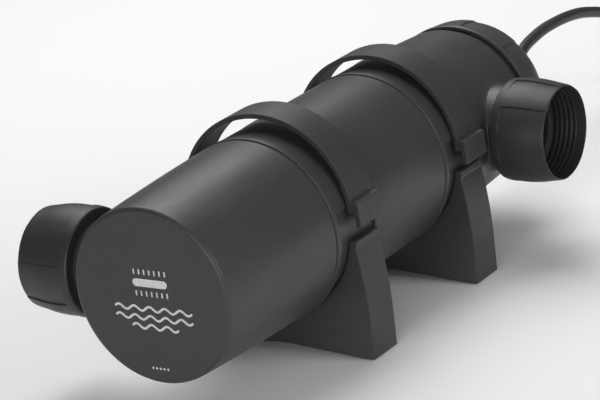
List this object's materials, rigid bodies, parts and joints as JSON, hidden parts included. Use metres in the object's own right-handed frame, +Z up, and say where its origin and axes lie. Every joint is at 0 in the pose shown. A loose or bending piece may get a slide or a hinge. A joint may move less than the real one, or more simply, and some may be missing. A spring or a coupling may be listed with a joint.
{
  "type": "uv clarifier",
  "caption": "In-line pond UV clarifier: tubular lamp housing clamped in cradle feet with hinged straps, union nuts on side ports, screw-on lamp head and mains cord.",
  "frame": {"origin": "on the floor, under the middle of the object's bounding box without its loose cord", "axes": "+Y runs along the tubular housing from its flat end to the lamp head, +X points to the outlet port, +Z is up"},
  "size_m": [0.2336, 0.576, 0.1263],
  "materials": {
    "housing_plastic": "satin, fine moulded grain",
    "bracket_plastic": "satin, fine moulded grain",
    "nut_plastic": "soft gloss",
    "black_rubber": "matte",
    "white_plastic": "matte",
    "quartz_glass": "clear",
    "circuit_board": "satin",
    "choke_core": "dark enamel",
    "steel": "brushed",
    "plated_brass": "plated, bright"
  },
  "bodies": {
    "unit": {"housing": "housing_plastic", "front_foot": "bracket_plastic", "rear_foot": "bracket_plastic", "front_hinge_pin": "steel", "rear_hinge_pin": "steel", "inlet_snap_ring": "steel", "outlet_snap_ring": "steel", "inlet_seal": "black_rubber", "outlet_seal": "black_rubber", "head_gasket": "black_rubber"},
    "front_strap": {"front_strap": "bracket_plastic"},
    "rear_strap": {"rear_strap": "bracket_plastic"},
    "inlet_nut": {"inlet_union_nut": "nut_plastic"},
    "outlet_nut": {"outlet_union_nut": "nut_plastic"},
    "lamp_head": {"lamp_head_base": "housing_plastic", "head_o_ring": "black_rubber", "sleeve_o_ring": "black_rubber", "sleeve_nut": "housing_plastic", "head_cover": "housing_plastic", "quartz_sleeve": "quartz_glass", "uv_lamp_tubes": "quartz_glass", "uv_lamp_base": "white_plastic", "lamp_holder": "white_plastic", "lamp_pin_left": "plated_brass", "lamp_pin_right": "plated_brass", "circuit_board": "circuit_board", "choke": "choke_core", "capacitor": "black_rubber", "gland_lock_nut": "bracket_plastic", "gland_body": "housing_plastic", "gland_nut": "housing_plastic", "strain_relief": "black_rubber", "cord": "black_rubber", "cord_coil": "black_rubber", "coil_tie": "black_rubber", "plug_lead": "black_rubber", "plug_body": "black_rubber", "plug_pin_left": "steel", "plug_pin_right": "steel"},
    "head_ring": {"retaining_ring": "housing_plastic"}
  },
  "joints": [
    {"name": "front_strap_hinge", "type": "hinge", "parent": "unit", "child": "front_strap", "pos_m": [-0.051, -0.06225, 0.065], "axis": [0, -1, 0], "range_deg": [-7, 95]},
    {"name": "rear_strap_hinge", "type": "hinge", "parent": "unit", "child": "rear_strap", "pos_m": [-0.051, 0.04535, 0.065], "axis": [0, -1, 0], "range_deg": [-5, 96]},
    {"name": "inlet_nut_spin", "type": "hinge", "parent": "unit", "child": "inlet_nut", "pos_m": [-0.0692, -0.14495, 0.069], "axis": [-1, 0, 0], "continuous": true},
    {"name": "outlet_nut_spin", "type": "hinge", "parent": "unit", "child": "outlet_nut", "pos_m": [0.0692, 0.09065, 0.069], "axis": [1, 0, 0], "continuous": true},
    {"name": "lamp_head_slide", "type": "slide", "parent": "unit", "child": "lamp_head", "axis": [0, 1, 0], "range_m": [0, 0.18]},
    {"name": "head_ring_turn", "type": "hinge", "parent": "lamp_head", "child": "head_ring", "pos_m": [0.0012, 0.13565, 0.069], "axis": [0, 1, 0], "range_deg": [0, 450]}
  ]
}
